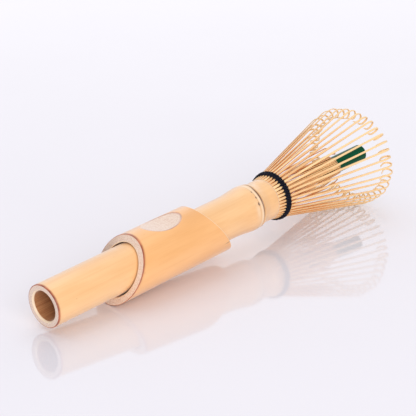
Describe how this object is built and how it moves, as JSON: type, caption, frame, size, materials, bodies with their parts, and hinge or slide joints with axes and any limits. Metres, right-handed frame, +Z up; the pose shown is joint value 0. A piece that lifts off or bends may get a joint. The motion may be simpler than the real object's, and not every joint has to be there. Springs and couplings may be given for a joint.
{
  "type": "bamboo tea whisk",
  "caption": "Long-handled bamboo tea whisk with flared, hooked prongs laced by black thread, a green shaping plug and a loose bamboo grip sleeve.",
  "frame": {"origin": "on the table, under the middle of the lying whisk's bounding box", "axes": "+Z up from the table, +X along the whisk from the open end of its handle towards the prongs, whose axis rises 3.65 degrees from +X"},
  "size_m": [0.2234, 0.0561, 0.0532],
  "materials": {
    "culm_bamboo": "smooth natural bamboo skin, satin",
    "prong_bamboo": "split and shaved bamboo, satin",
    "inner_prong_bamboo": "split and shaved bamboo, satin",
    "black_thread": "twisted cotton thread, matt",
    "green_plug": "glossy moulded plastic",
    "sleeve_bamboo": "smooth natural bamboo skin, satin"
  },
  "bodies": {
    "whisk": {"culm": "culm_bamboo", "outer_prong_01": "prong_bamboo", "outer_prong_02": "prong_bamboo", "outer_prong_03": "prong_bamboo", "outer_prong_04": "prong_bamboo", "outer_prong_05": "prong_bamboo", "outer_prong_06": "prong_bamboo", "outer_prong_07": "prong_bamboo", "outer_prong_08": "prong_bamboo", "outer_prong_09": "prong_bamboo", "outer_prong_10": "prong_bamboo", "outer_prong_11": "prong_bamboo", "outer_prong_12": "prong_bamboo", "outer_prong_13": "prong_bamboo", "outer_prong_14": "prong_bamboo", "outer_prong_15": "prong_bamboo", "outer_prong_16": "prong_bamboo", "outer_prong_17": "prong_bamboo", "outer_prong_18": "prong_bamboo", "outer_prong_19": "prong_bamboo", "outer_prong_20": "prong_bamboo", "outer_prong_21": "prong_bamboo", "outer_prong_22": "prong_bamboo", "outer_prong_23": "prong_bamboo", "outer_prong_24": "prong_bamboo", "outer_prong_25": "prong_bamboo", "outer_prong_26": "prong_bamboo", "outer_prong_27": "prong_bamboo", "outer_prong_28": "prong_bamboo", "outer_prong_29": "prong_bamboo", "outer_prong_30": "prong_bamboo", "outer_prong_31": "prong_bamboo", "outer_prong_32": "prong_bamboo", "outer_prong_33": "prong_bamboo", "outer_prong_34": "prong_bamboo", "outer_prong_35": "prong_bamboo", "outer_prong_36": "prong_bamboo", "outer_prong_37": "prong_bamboo", "outer_prong_38": "prong_bamboo", "outer_prong_39": "prong_bamboo", "outer_prong_40": "prong_bamboo", "inner_prongs": "inner_prong_bamboo", "thread_row_1": "black_thread", "thread_row_2": "black_thread", "thread_row_3": "black_thread", "thread_inner_row": "black_thread"},
    "sleeve": {"sleeve": "sleeve_bamboo"},
    "plug": {"shaping_plug": "green_plug"}
  },
  "joints": [
    {"name": "sleeve_slide", "type": "slide", "parent": "whisk", "child": "sleeve", "axis": [0.998, 0, 0.0637], "range_m": [-0.112, 0.002]},
    {"name": "plug_pull", "type": "slide", "parent": "whisk", "child": "plug", "axis": [0.998, 0, 0.0637], "range_m": [0, 0.042]}
  ]
}
